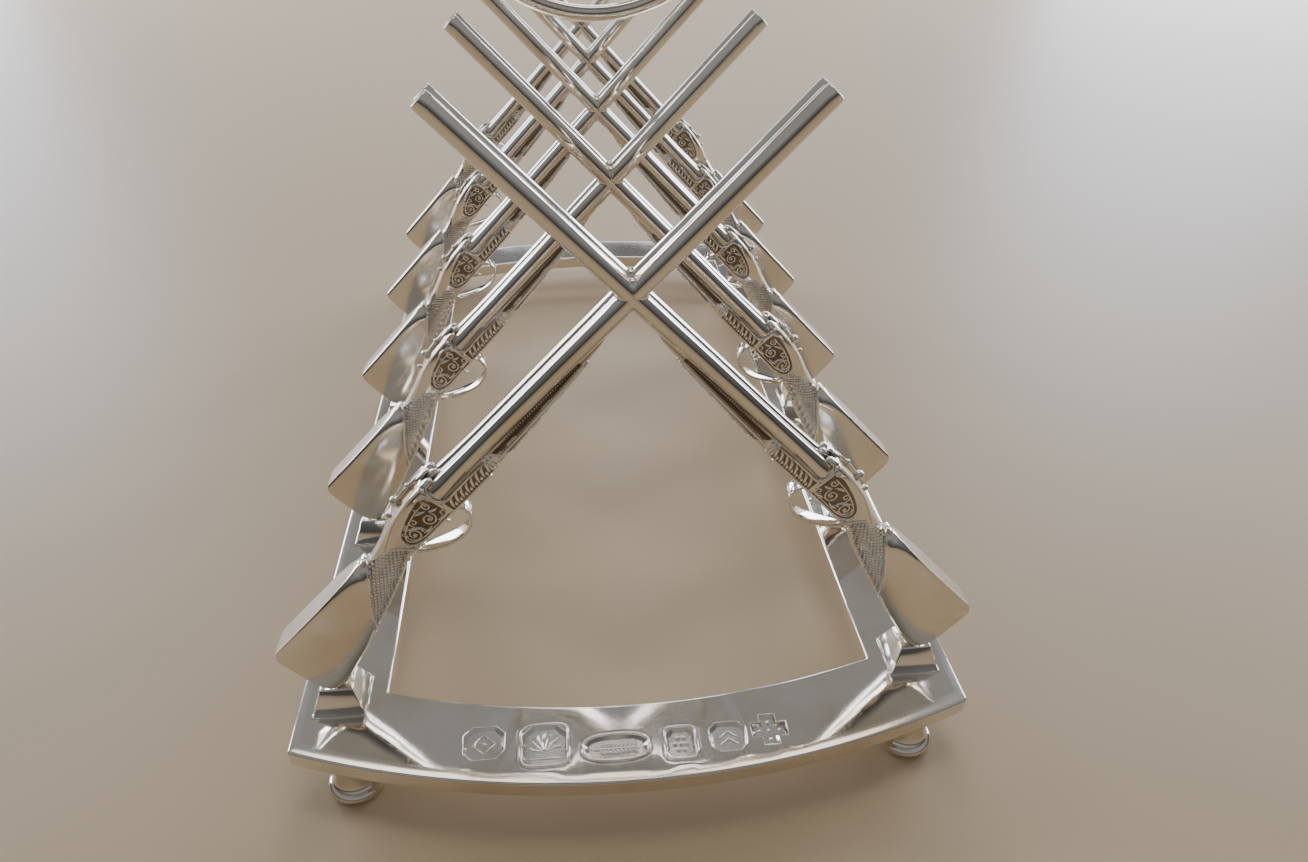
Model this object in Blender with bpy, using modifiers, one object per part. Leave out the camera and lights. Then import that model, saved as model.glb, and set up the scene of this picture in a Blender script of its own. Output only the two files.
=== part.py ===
"""Silver toast rack: five pairs of crossed miniature shotguns on a footed frame."""
import math

import bmesh
import bpy
from mathutils import Matrix, Vector

MM = 0.001

# Driving dimensions, all in millimetres.
PAIR_COUNT = 5
PAIR_PITCH = 29.75          # from one pair of guns to the next
GAP = 0.3                   # clearance left where soldered pieces meet

FOOT_HEIGHT = 5.0
FOOT_RADIUS = 3.3
FOOT_STEPS = 16
FOOT_X = 32.3
FOOT_SETBACK = 6.2          # foot centre in front of the end pair

PLATE_THICKNESS = 2.4
PLATE_HALF_WIDTH = 38.8
OPENING_HALF_WIDTH = 28.7
CORNER_OVERHANG = 7.1       # plate corner beyond the end pair
END_BOW = 7.2               # how far the end bar bulges past its corners
OPENING_OVERHANG = -0.3     # opening corner beyond the end pair
OPENING_BOW = 4.4
PLATE_EDGE_RADIUS = 0.45
BOW_STEPS = 16

PEDESTAL_X = 33.8
PEDESTAL_BASE = 5.8
PEDESTAL_TOP = 3.5
PEDESTAL_HEIGHT = 3.1       # above the plate

GUN_TILT = 46.4             # degrees between a barrel and the plate
CROSSING_HEIGHT = 50.5      # barrel crossing above the plate
MUZZLE_END = 23.6           # along the barrels from the crossing
BREECH_END = -27.9
BREECH_RADIUS = 1.2
BARREL_RADIUS = 0.98
TAPER_LENGTH = 9.0          # the swell at the breech dies out over this length
RIB_HALF_WIDTH = 0.45
RIB_HALF_HEIGHT = 0.4
BARREL_SIDES = 12
NOTCH_HALF_LENGTH = 1.35    # halving joint where the two pairs of barrels cross

GUARD_EDGE_RADIUS = 0.25    # half the thickness of the guard's strip
GUARD_FLAT = 0.65           # half width of the strip between its round edges
STOCK_RING = 12

RING_RADIUS = 20.7          # to the centre of the wire
RING_WIRE = 1.05

PLATE_BOTTOM = FOOT_HEIGHT
PLATE_TOP = PLATE_BOTTOM + PLATE_THICKNESS
END_PAIR_Y = PAIR_PITCH * (PAIR_COUNT - 1) / 2
CORNER_Y = END_PAIR_Y + CORNER_OVERHANG
OPENING_Y = END_PAIR_Y + OPENING_OVERHANG
CROSSING_Z = PLATE_TOP + CROSSING_HEIGHT

# Stock, action and fore-end as sections along the gun:
# distance from the crossing, top, bottom, half thickness, corner squareness.
STOCK_SECTIONS = [
    (-57.45, -1.20, -7.60, 1.45, 2.2),
    (-57.15, -0.25, -8.35, 1.90, 2.3),
    (-55.90, 0.15, -8.55, 2.15, 2.4),
    (-50.00, 0.20, -7.35, 2.20, 2.3),
    (-45.50, 0.25, -6.25, 2.15, 2.2),
    (-42.00, 0.25, -5.20, 1.95, 2.2),
    (-41.00, 0.10, -4.85, 1.85, 2.2),
    (-40.20, -0.20, -4.50, 1.80, 2.2),
    (-38.50, 0.00, -3.80, 1.75, 2.2),
    (-36.00, 0.70, -3.20, 1.95, 2.6),
    (-34.00, 1.30, -2.95, 2.25, 3.6),
    (-31.00, 1.85, -2.65, 2.40, 4.5),
    (-28.20, 1.95, -2.55, 2.40, 4.5),
    (-28.10, -1.50, -2.55, 2.40, 4.5),
    (-21.00, -1.50, -2.50, 2.15, 4.0),
    (-12.00, -1.36, -2.05, 1.75, 3.0),
    (-5.00, -1.30, -1.62, 1.10, 2.2),
]

# Centre line of the trigger guard, from its tail round the bow to the front.
GUARD_PATH = [
    (-35.60, -3.75),
    (-34.40, -4.55),
    (-32.90, -5.35),
    (-31.00, -5.60),
    (-29.30, -5.15),
    (-28.45, -4.10),
    (-28.75, -3.35),
]


def clear_scene():
    for item in list(bpy.data.objects):
        bpy.data.objects.remove(item, do_unlink=True)


def new_collection(name):
    group = bpy.data.collections.new(name)
    bpy.context.scene.collection.children.link(group)
    return group


def silver(name, color, roughness):
    material = bpy.data.materials.new(name)
    material.use_nodes = True
    shader = material.node_tree.nodes["Principled BSDF"]
    shader.inputs["Base Color"].default_value = (*color, 1.0)
    shader.inputs["Metallic"].default_value = 1.0
    shader.inputs["Roughness"].default_value = roughness
    return material


def move_to(item, group):
    for owner in list(item.users_collection):
        owner.objects.unlink(item)
    group.objects.link(item)


def link_mesh(name, mesh, group, material):
    item = bpy.data.objects.new(name, mesh)
    group.objects.link(item)
    if not mesh.materials:
        mesh.materials.append(material)
    return item


def mesh_from_bmesh(name, bm, sharp_angle=40.0):
    bmesh.ops.recalc_face_normals(bm, faces=bm.faces)
    mesh = bpy.data.meshes.new(name)
    bm.to_mesh(mesh)
    bm.free()
    mesh.shade_smooth()
    mesh.set_sharp_from_angle(angle=math.radians(sharp_angle))
    return mesh


def mesh_from_object(item, name):
    """Evaluated mesh of a curve or a modified object, welded and in world space."""
    bpy.context.view_layer.update()
    graph = bpy.context.evaluated_depsgraph_get()
    mesh = bpy.data.meshes.new_from_object(item.evaluated_get(graph))
    mesh.name = name
    mesh.transform(item.matrix_world)
    bm = bmesh.new()
    bm.from_mesh(mesh)
    bmesh.ops.remove_doubles(bm, verts=bm.verts, dist=0.01 * MM)
    bm.to_mesh(mesh)
    bm.free()
    bpy.data.objects.remove(item, do_unlink=True)
    return mesh


def bowed_outline(half_width, corner_y, bow):
    """Rectangle whose front and back sides bulge outwards."""
    points = []
    for end in (-1, 1):
        for step in range(BOW_STEPS + 1):
            across = 1 - 2 * step / BOW_STEPS
            x = end * half_width * across
            y = end * (corner_y + bow * (1 - across * across))
            points.append((x * MM, y * MM))
    return points


def base_frame(group, material):
    curve = bpy.data.curves.new("base_outline", "CURVE")
    curve.dimensions = "2D"
    curve.fill_mode = "BOTH"
    curve.extrude = PLATE_THICKNESS * MM / 2
    outlines = [
        bowed_outline(PLATE_HALF_WIDTH, CORNER_Y, END_BOW),
        bowed_outline(OPENING_HALF_WIDTH, OPENING_Y, OPENING_BOW),
    ]
    for outline in outlines:
        spline = curve.splines.new("POLY")
        spline.points.add(len(outline) - 1)
        spline.use_cyclic_u = True
        for point, place in zip(spline.points, outline):
            point.co = (*place, 0.0, 1.0)
    outline_object = bpy.data.objects.new("base_outline", curve)
    group.objects.link(outline_object)
    outline_object.location.z = (PLATE_BOTTOM + PLATE_THICKNESS / 2) * MM
    mesh = mesh_from_object(outline_object, "base_frame")
    frame = link_mesh("base_frame", mesh, group, material)
    soften = frame.modifiers.new("soft_edges", "BEVEL")
    soften.width = PLATE_EDGE_RADIUS * MM
    soften.segments = 1
    soften.limit_method = "ANGLE"
    soften.angle_limit = math.radians(60)
    return frame


def turned(name, profile, steps, group, material):
    """Solid of revolution about +Z from (radius, height) points, top first."""
    mesh = bpy.data.meshes.new(name)
    points = [(radius * MM, 0.0, height * MM) for radius, height in profile]
    edges = [(index, index + 1) for index in range(len(points) - 1)]
    mesh.from_pydata(points, edges, [])
    item = link_mesh(name, mesh, group, material)
    screw = item.modifiers.new("turn", "SCREW")
    screw.steps = steps
    screw.render_steps = steps
    screw.use_merge_vertices = True
    screw.merge_threshold = 0.00001
    return item


def feet(group, material):
    top = FOOT_HEIGHT - GAP
    profile = [
        (0.0, top),
        (2.45, top),
        (2.30, 2.6),
        (2.55, 1.5),
        (3.05, 1.05),
        (FOOT_RADIUS, 0.75),
        (FOOT_RADIUS, 0.25),
        (3.05, 0.0),
        (0.0, 0.0),
    ]
    for end, side in ((-1, -1), (-1, 1), (1, -1), (1, 1)):
        name = "foot_{}_{}".format("front" if end < 0 else "back", "left" if side < 0 else "right")
        foot = turned(name, profile, FOOT_STEPS, group, material)
        foot.location = (side * FOOT_X * MM, end * (END_PAIR_Y + FOOT_SETBACK) * MM, 0)


def pedestal_mesh(material):
    bm = bmesh.new()
    bmesh.ops.create_cone(
        bm,
        cap_ends=True,
        segments=4,
        radius1=PEDESTAL_BASE * MM / math.sqrt(2),
        radius2=PEDESTAL_TOP * MM / math.sqrt(2),
        depth=(PEDESTAL_HEIGHT - GAP) * MM,
        matrix=Matrix.Rotation(math.radians(45), 4, "Z"),
    )
    mesh = mesh_from_bmesh("pedestal", bm)
    mesh.materials.append(material)
    return mesh


def ring_points(top, bottom, half_width, squareness):
    """Superellipse section in the plane across the gun."""
    middle = (top + bottom) / 2
    half_height = (top - bottom) / 2
    points = []
    for index in range(STOCK_RING):
        angle = 2 * math.pi * (index + 0.5) / STOCK_RING
        across = math.cos(angle)
        up = math.sin(angle)
        power = 2 / squareness
        y = half_width * math.copysign(abs(across) ** power, across)
        z = middle + half_height * math.copysign(abs(up) ** power, up)
        points.append((y, z))
    return points


def stock_mesh(material):
    """Loft of butt, wrist, action and fore-end, along local X."""
    bm = bmesh.new()
    rings = []
    for along, top, bottom, half_width, squareness in STOCK_SECTIONS:
        places = ring_points(top, bottom, half_width, squareness)
        ring = [bm.verts.new((along * MM, y * MM, z * MM)) for y, z in places]
        rings.append(ring)
    for first, second in zip(rings, rings[1:]):
        for index in range(STOCK_RING):
            following = (index + 1) % STOCK_RING
            bm.faces.new((first[index], first[following], second[following], second[index]))
    bm.faces.new(rings[0])
    bm.faces.new(rings[-1])
    mesh = mesh_from_bmesh("gun_stock", bm, 50.0)
    mesh.materials.append(material)
    return mesh


def barrel_radius(along):
    swell = max(0.0, 1 - (along - BREECH_END) / TAPER_LENGTH)
    return BARREL_RADIUS + (BREECH_RADIUS - BARREL_RADIUS) * swell * swell


def barrel_tube(side):
    """One tube of the pair, standing off the centre line by its own radius."""
    bm = bmesh.new()
    stations = [BREECH_END + TAPER_LENGTH * step / 4 for step in range(5)] + [MUZZLE_END]
    rings = []
    for along in stations:
        radius = barrel_radius(along)
        ring = []
        for index in range(BARREL_SIDES):
            angle = 2 * math.pi * index / BARREL_SIDES
            y = side * (radius + 0.04) + radius * math.cos(angle)
            z = radius * math.sin(angle)
            ring.append(bm.verts.new((along * MM, y * MM, z * MM)))
        rings.append(ring)
    for first, second in zip(rings, rings[1:]):
        for index in range(BARREL_SIDES):
            following = (index + 1) % BARREL_SIDES
            bm.faces.new((first[index], first[following], second[following], second[index]))
    bm.faces.new(rings[0])
    bm.faces.new(rings[-1])
    return mesh_from_bmesh("barrel_tube", bm)


def box_object(name, low, high, group):
    bm = bmesh.new()
    size = Vector(high) - Vector(low)
    centre = (Vector(high) + Vector(low)) / 2
    scale = Matrix.Diagonal((*(size * MM), 1.0))
    bmesh.ops.create_cube(bm, size=1.0, matrix=Matrix.Translation(centre * MM) @ scale)
    item = bpy.data.objects.new(name, mesh_from_bmesh(name, bm))
    group.objects.link(item)
    item.hide_render = True
    item.display_type = "WIRE"
    return item


def boolean(item, tool, operation):
    change = item.modifiers.new(tool.name, "BOOLEAN")
    change.operation = operation
    change.solver = "EXACT"
    change.object = tool


def barrels_mesh(cutters, material):
    """Two tubes joined by a rib, with half their depth cut away at the crossing."""
    near = bpy.data.objects.new("near_tube", barrel_tube(-1))
    far = bpy.data.objects.new("far_tube", barrel_tube(1))
    for tube in (near, far):
        cutters.objects.link(tube)
    rib = box_object(
        "rib",
        (BREECH_END, -RIB_HALF_WIDTH, -RIB_HALF_HEIGHT),
        (MUZZLE_END - 0.2, RIB_HALF_WIDTH, RIB_HALF_HEIGHT),
        cutters,
    )
    notch = box_object(
        "halving_notch",
        (-NOTCH_HALF_LENGTH, -3.0, -2.0),
        (NOTCH_HALF_LENGTH, GAP / 2, 2.0),
        cutters,
    )
    boolean(near, rib, "UNION")
    boolean(near, far, "UNION")
    boolean(near, notch, "DIFFERENCE")
    mesh = mesh_from_object(near, "barrels")
    mesh.materials.clear()
    mesh.materials.append(material)
    mesh.shade_smooth()
    mesh.set_sharp_from_angle(angle=math.radians(40))
    for tool in (far, rib, notch):
        bpy.data.objects.remove(tool, do_unlink=True)
    return mesh


def guard_mesh(group, material):
    """Strip bent in the plane of the gun, its width across the gun."""
    curve = bpy.data.curves.new("guard_path", "CURVE")
    curve.dimensions = "2D"
    curve.fill_mode = "NONE"
    curve.extrude = GUARD_FLAT * MM
    curve.bevel_depth = GUARD_EDGE_RADIUS * MM
    curve.bevel_resolution = 1
    curve.resolution_u = 2
    curve.use_fill_caps = True
    spline = curve.splines.new("BEZIER")
    spline.bezier_points.add(len(GUARD_PATH) - 1)
    for point, (along, up) in zip(spline.bezier_points, GUARD_PATH):
        point.co = (along * MM, up * MM, 0.0)
        point.handle_left_type = "AUTO"
        point.handle_right_type = "AUTO"
    item = bpy.data.objects.new("guard_path", curve)
    item.rotation_euler.x = math.pi / 2
    group.objects.link(item)
    mesh = mesh_from_object(item, "trigger_guard")
    mesh.materials.clear()
    mesh.materials.append(material)
    mesh.shade_smooth()
    return mesh


def place_guns(group, meshes, pedestal):
    """Each pair is one gun and the same gun turned half round about the vertical."""
    for pair in range(PAIR_COUNT):
        y = (pair * PAIR_PITCH - END_PAIR_Y) * MM
        for side, turn in (("left", 0.0), ("right", math.pi)):
            crossing = Matrix.Translation((0.0, y, CROSSING_Z * MM))
            tilt = Matrix.Rotation(math.radians(-GUN_TILT), 4, "Y")
            pose = crossing @ Matrix.Rotation(turn, 4, "Z") @ tilt
            for part, mesh in meshes.items():
                item = bpy.data.objects.new("{}_{}_{}".format(part, side, pair + 1), mesh)
                group.objects.link(item)
                item.matrix_world = pose
            block = bpy.data.objects.new("pedestal_{}_{}".format(side, pair + 1), pedestal)
            group.objects.link(block)
            across = PEDESTAL_X if turn else -PEDESTAL_X
            height = PLATE_TOP + (PEDESTAL_HEIGHT + GAP) / 2
            block.location = (across * MM, y, height * MM)


def ring_handle(group, material):
    """Wire ring resting between the barrels of the middle pair, just clear of them."""
    spread = barrel_radius(MUZZLE_END) + 0.04
    reach = BARREL_RADIUS + RING_WIRE + GAP
    stand_off = math.sqrt(reach * reach - spread * spread)
    height = CROSSING_Z + (RING_RADIUS + stand_off) / math.cos(math.radians(GUN_TILT))
    bpy.ops.mesh.primitive_torus_add(
        major_segments=48,
        minor_segments=8,
        major_radius=RING_RADIUS * MM,
        minor_radius=RING_WIRE * MM,
        location=(0.0, 0.0, height * MM),
        rotation=(math.radians(90), 0.0, 0.0),
    )
    ring = bpy.context.object
    ring.name = "ring_handle"
    ring.data.materials.append(material)
    ring.data.shade_smooth()
    move_to(ring, group)


def build():
    clear_scene()
    rack = new_collection("toast_rack")
    cutters = new_collection("cutters")
    polished = silver("polished_silver", (0.83, 0.82, 0.80), 0.08)
    cast = silver("cast_silver", (0.74, 0.72, 0.69), 0.2)
    base_frame(rack, polished)
    feet(rack, silver("turned_silver", (0.80, 0.79, 0.77), 0.1))
    pedestal = pedestal_mesh(silver("filed_silver", (0.78, 0.77, 0.75), 0.15))
    meshes = {
        "barrels": barrels_mesh(cutters, silver("drawn_silver", (0.84, 0.83, 0.81), 0.07)),
        "gun_stock": stock_mesh(cast),
        "trigger_guard": guard_mesh(cutters, silver("bent_silver", (0.82, 0.81, 0.79), 0.08)),
    }
    place_guns(rack, meshes, pedestal)
    ring_handle(rack, silver("wire_silver", (0.84, 0.83, 0.81), 0.07))


build()
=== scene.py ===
import math
import random

import bmesh
import bpy
from mathutils import Matrix, Vector


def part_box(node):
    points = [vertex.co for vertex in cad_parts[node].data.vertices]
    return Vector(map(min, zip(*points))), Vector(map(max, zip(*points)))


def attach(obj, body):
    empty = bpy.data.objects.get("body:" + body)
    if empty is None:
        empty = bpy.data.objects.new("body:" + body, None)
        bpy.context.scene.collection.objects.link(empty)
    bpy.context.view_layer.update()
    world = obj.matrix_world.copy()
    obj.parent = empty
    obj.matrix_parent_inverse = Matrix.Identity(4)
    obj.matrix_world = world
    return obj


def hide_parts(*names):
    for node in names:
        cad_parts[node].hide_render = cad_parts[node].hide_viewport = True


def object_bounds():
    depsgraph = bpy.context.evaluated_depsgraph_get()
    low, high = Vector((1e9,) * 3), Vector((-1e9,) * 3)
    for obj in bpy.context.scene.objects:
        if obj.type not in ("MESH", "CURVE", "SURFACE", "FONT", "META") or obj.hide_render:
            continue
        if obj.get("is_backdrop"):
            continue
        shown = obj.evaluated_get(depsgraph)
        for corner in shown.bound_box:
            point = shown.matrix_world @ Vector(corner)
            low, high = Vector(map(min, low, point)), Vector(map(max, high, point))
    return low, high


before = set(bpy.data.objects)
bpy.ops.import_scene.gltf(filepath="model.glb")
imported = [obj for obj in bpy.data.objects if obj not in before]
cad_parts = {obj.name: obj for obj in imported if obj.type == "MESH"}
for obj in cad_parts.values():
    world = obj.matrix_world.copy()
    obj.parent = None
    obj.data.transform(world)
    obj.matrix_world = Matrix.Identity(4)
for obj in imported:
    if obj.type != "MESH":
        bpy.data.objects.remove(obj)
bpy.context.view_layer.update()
mm = 0.001
chance = random.Random(11)

plateLow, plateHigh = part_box("base_frame")
pairRows = []    # how far back each pair of guns stands, front pair first
for pair in range(5):
    blockLow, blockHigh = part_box("pedestal_left_{}".format(pair + 1))
    pairRows.append((blockLow.y + blockHigh.y) / 2)
endRow = pairRows[-1] / mm


# Small helpers.

def linearColour(hexText):
    parts = [int(hexText[i:i + 2], 16) / 255 for i in (1, 3, 5)]
    return tuple(p / 12.92 if p <= 0.04045 else ((p + 0.055) / 1.055) ** 2.4 for p in parts) + (1.0,)


def addNode(tree, kind, inputs=None, **settings):
    node = tree.nodes.new(kind)
    for label, value in settings.items():
        setattr(node, label, value)
    for label, value in (inputs or {}).items():
        if isinstance(value, bpy.types.NodeSocket):
            tree.links.new(value, node.inputs[label])
        else:
            node.inputs[label].default_value = value
    return node


def newObject(name, mesh, material=None):
    item = bpy.data.objects.new(name, mesh)
    bpy.context.scene.collection.objects.link(item)
    if material:
        mesh.materials.clear()
        mesh.materials.append(material)
    return item


def plainMesh(item, name):
    # What the object's modifiers make of it, as a plain mesh; the object goes.
    bpy.context.view_layer.update()
    graph = bpy.context.evaluated_depsgraph_get()
    mesh = bpy.data.meshes.new_from_object(item.evaluated_get(graph), depsgraph=graph)
    mesh.name = name
    mesh.transform(item.matrix_world)
    bpy.data.objects.remove(item, do_unlink=True)
    return mesh


def meshFrom(name, bm):
    mesh = bpy.data.meshes.new(name)
    bm.to_mesh(mesh)
    bm.free()
    return mesh


def solidMesh(name, bm, smoothAngle=35):
    bmesh.ops.remove_doubles(bm, verts=bm.verts, dist=0.0005 * mm)
    bmesh.ops.recalc_face_normals(bm, faces=bm.faces)
    mesh = meshFrom(name, bm)
    mesh.shade_smooth()
    mesh.set_sharp_from_angle(angle=math.radians(smoothAngle))
    return mesh


def joinMeshes(name, meshes):
    bm = bmesh.new()
    for mesh in meshes:
        bm.from_mesh(mesh)
    joined = meshFrom(name, bm)
    for material in meshes[0].materials:
        joined.materials.append(material)
    return joined


def skinRings(bm, rings, capped=True):
    # Faces from every ring to the next, and over both ends.
    count = len(rings[0])
    for first, second in zip(rings, rings[1:]):
        for i in range(count):
            j = (i + 1) % count
            bm.faces.new((first[i], first[j], second[j], second[i]))
    if capped:
        bm.faces.new(rings[0])
        bm.faces.new(rings[-1])


def wrapRings(bm, uvName, rings, mapped, closed=False):
    # Rings skinned with a UV map; mapped() gives the place on it of a step of a ring.
    uv = bm.loops.layers.uv.get(uvName) or bm.loops.layers.uv.new(uvName)
    count = len(rings[0])
    for k in range(len(rings) if closed else len(rings) - 1):
        for i in range(count):
            corners = ((k, i), (k, i + 1), (k + 1, i + 1), (k + 1, i))
            face = bm.faces.new([rings[r % len(rings)][s % count] for r, s in corners])
            for loop, corner in zip(face.loops, corners):
                loop[uv].uv = mapped(*corner)
    if not closed:
        bm.faces.new(rings[0])
        bm.faces.new(rings[-1])


def smoothPath(points, steps=6):
    # Catmull-Rom curve through the points.
    made = []
    last = len(points) - 1
    for i in range(last):
        a, b, c, d = points[max(i - 1, 0)], points[i], points[i + 1], points[min(i + 2, last)]
        for t in (step / steps for step in range(steps)):
            made.append(tuple(
                0.5 * (2 * q + (r - p) * t + (2 * p - 5 * q + 4 * r - w) * t * t
                       + (3 * q - p - 3 * r + w) * t ** 3)
                for p, q, r, w in zip(a, b, c, d)))
    made.append(tuple(points[-1]))
    return made


def stations(first, last, step):
    # Even places from first to last, both included.
    count = max(1, round((last - first) / step))
    return [first + (last - first) * i / count for i in range(count + 1)]


# Geometry Nodes trees for what repeats or follows a path or a surface.

def startTree(name, sockets):
    tree = bpy.data.node_groups.new(name, "GeometryNodeTree")
    tree.interface.new_socket(name="Geometry", in_out="INPUT", socket_type="NodeSocketGeometry")
    for label, kind, value in sockets:
        socket = tree.interface.new_socket(name=label, in_out="INPUT", socket_type="NodeSocket" + kind)
        if value is not None:
            socket.default_value = value
    tree.interface.new_socket(name="Geometry", in_out="OUTPUT", socket_type="NodeSocketGeometry")
    return tree, addNode(tree, "NodeGroupInput")


def endTree(tree, start, geometry, smooth):
    real = addNode(tree, "GeometryNodeRealizeInstances", {"Geometry": geometry})
    shaded = addNode(tree, "GeometryNodeSetShadeSmooth", {
        "Geometry": real.outputs[0], "Shade Smooth": smooth})
    painted = addNode(tree, "GeometryNodeSetMaterial", {
        "Geometry": shaded.outputs[0], "Material": start.outputs["Material"]})
    addNode(tree, "NodeGroupOutput", {"Geometry": painted.outputs[0]})
    return tree


def raisedLineTree():
    # A round wire along every path; with Taper it thins towards both ends.
    tree, start = startTree("raised_line", [
        ("Half Width", "Float", 0.1 * mm), ("Taper", "Float", 0.0), ("Sides", "Int", 8),
        ("Material", "Material", None)])
    curve = addNode(tree, "GeometryNodeMeshToCurve", {"Mesh": start.outputs["Geometry"]})
    along = addNode(tree, "GeometryNodeSplineParameter")
    turn = addNode(tree, "ShaderNodeMath", {0: along.outputs["Factor"], 1: math.pi}, operation="MULTIPLY")
    swell = addNode(tree, "ShaderNodeMath", {0: turn.outputs[0]}, operation="SINE")
    full = addNode(tree, "ShaderNodeMath", {0: swell.outputs[0], 1: 0.3}, operation="ADD")
    width = addNode(tree, "ShaderNodeMix", {
        "Factor": start.outputs["Taper"], "A": 1.0, "B": full.outputs[0]}, data_type="FLOAT")
    sized = addNode(tree, "GeometryNodeSetCurveRadius", {
        "Curve": curve.outputs[0], "Radius": width.outputs[0]})
    ring = addNode(tree, "GeometryNodeCurvePrimitiveCircle", {
        "Resolution": start.outputs["Sides"], "Radius": start.outputs["Half Width"]})
    wire = addNode(tree, "GeometryNodeCurveToMesh", {
        "Curve": sized.outputs[0], "Profile Curve": ring.outputs[0], "Fill Caps": True})
    if "Scale" in wire.inputs:
        radius = addNode(tree, "GeometryNodeInputRadius")
        tree.links.new(radius.outputs[0], wire.inputs["Scale"])
    return endTree(tree, start, wire.outputs[0], True)


def beadRowTree():
    # Small beads in a row along every path.
    tree, start = startTree("bead_row", [
        ("Bead Radius", "Float", 0.2 * mm), ("Pitch", "Float", 0.5 * mm), ("Unevenness", "Float", 0.12),
        ("Seed", "Int", 4), ("Material", "Material", None)])
    curve = addNode(tree, "GeometryNodeMeshToCurve", {"Mesh": start.outputs["Geometry"]})
    spaced = addNode(tree, "GeometryNodeResampleCurve", {
        "Curve": curve.outputs[0], "Length": start.outputs["Pitch"]}, mode="LENGTH")
    bead = addNode(tree, "GeometryNodeMeshIcoSphere", {
        "Radius": start.outputs["Bead Radius"], "Subdivisions": 2})
    low = addNode(tree, "ShaderNodeMath", {0: 1.0, 1: start.outputs["Unevenness"]}, operation="SUBTRACT")
    high = addNode(tree, "ShaderNodeMath", {0: 1.0, 1: start.outputs["Unevenness"]}, operation="ADD")
    size = addNode(tree, "FunctionNodeRandomValue", {"Seed": start.outputs["Seed"]}, data_type="FLOAT")
    tree.links.new(low.outputs[0], size.inputs[2])
    tree.links.new(high.outputs[0], size.inputs[3])
    beads = addNode(tree, "GeometryNodeInstanceOnPoints", {
        "Points": spaced.outputs[0], "Instance": bead.outputs[0], "Scale": size.outputs[1]})
    return endTree(tree, start, beads.outputs[0], True)


def chequerTree():
    # Every face of the panel grows into a small blunt pyramid.
    tree, start = startTree("chequering", [
        ("Point Height", "Float", 0.15 * mm), ("Point Width", "Float", 0.25), ("Material", "Material", None)])
    grown = addNode(tree, "GeometryNodeExtrudeMesh", {
        "Mesh": start.outputs["Geometry"], "Offset Scale": start.outputs["Point Height"], "Individual": True},
        mode="FACES")
    pointed = addNode(tree, "GeometryNodeScaleElements", {
        "Geometry": grown.outputs["Mesh"], "Selection": grown.outputs["Top"],
        "Scale": start.outputs["Point Width"]})
    return endTree(tree, start, pointed.outputs[0], False)


def grow(tree, source, name, values):
    # Runs a tree on a mesh and gives back the plain result.
    item = newObject(name, source)
    change = item.modifiers.new(tree.name, "NODES")
    change.node_group = tree
    ids = {entry.name: entry.identifier for entry in tree.interface.items_tree if entry.in_out == "INPUT"}
    for label, value in values.items():
        change[ids[label]] = value
    return plainMesh(item, name)


def pathMesh(name, paths, loop=False):
    mesh = bpy.data.meshes.new(name)
    points, edges = [], []
    for path in paths:
        first = len(points)
        points.extend(Vector(p) * mm for p in path)
        edges.extend((first + i, first + i + 1) for i in range(len(path) - 1))
        if loop:
            edges.append((len(points) - 1, first))
    mesh.from_pydata(points, edges, [])
    return mesh


def wires(name, paths, halfWidth, material, taper=0.0, sides=8, loop=False):
    return grow(lineTree, pathMesh(name, paths, loop), name, {
        "Half Width": halfWidth * mm, "Taper": taper, "Sides": sides, "Material": material})


def beadRows(name, paths, radius, pitch, unevenness, seed, material):
    return grow(beadTree, pathMesh(name, paths), name, {
        "Bead Radius": radius * mm, "Pitch": pitch * mm, "Unevenness": unevenness, "Seed": seed,
        "Material": material})


lineTree = raisedLineTree()
beadTree = beadRowTree()
panelTree = chequerTree()


# Sterling silver, finished in the ways each piece of the rack was made.

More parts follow.
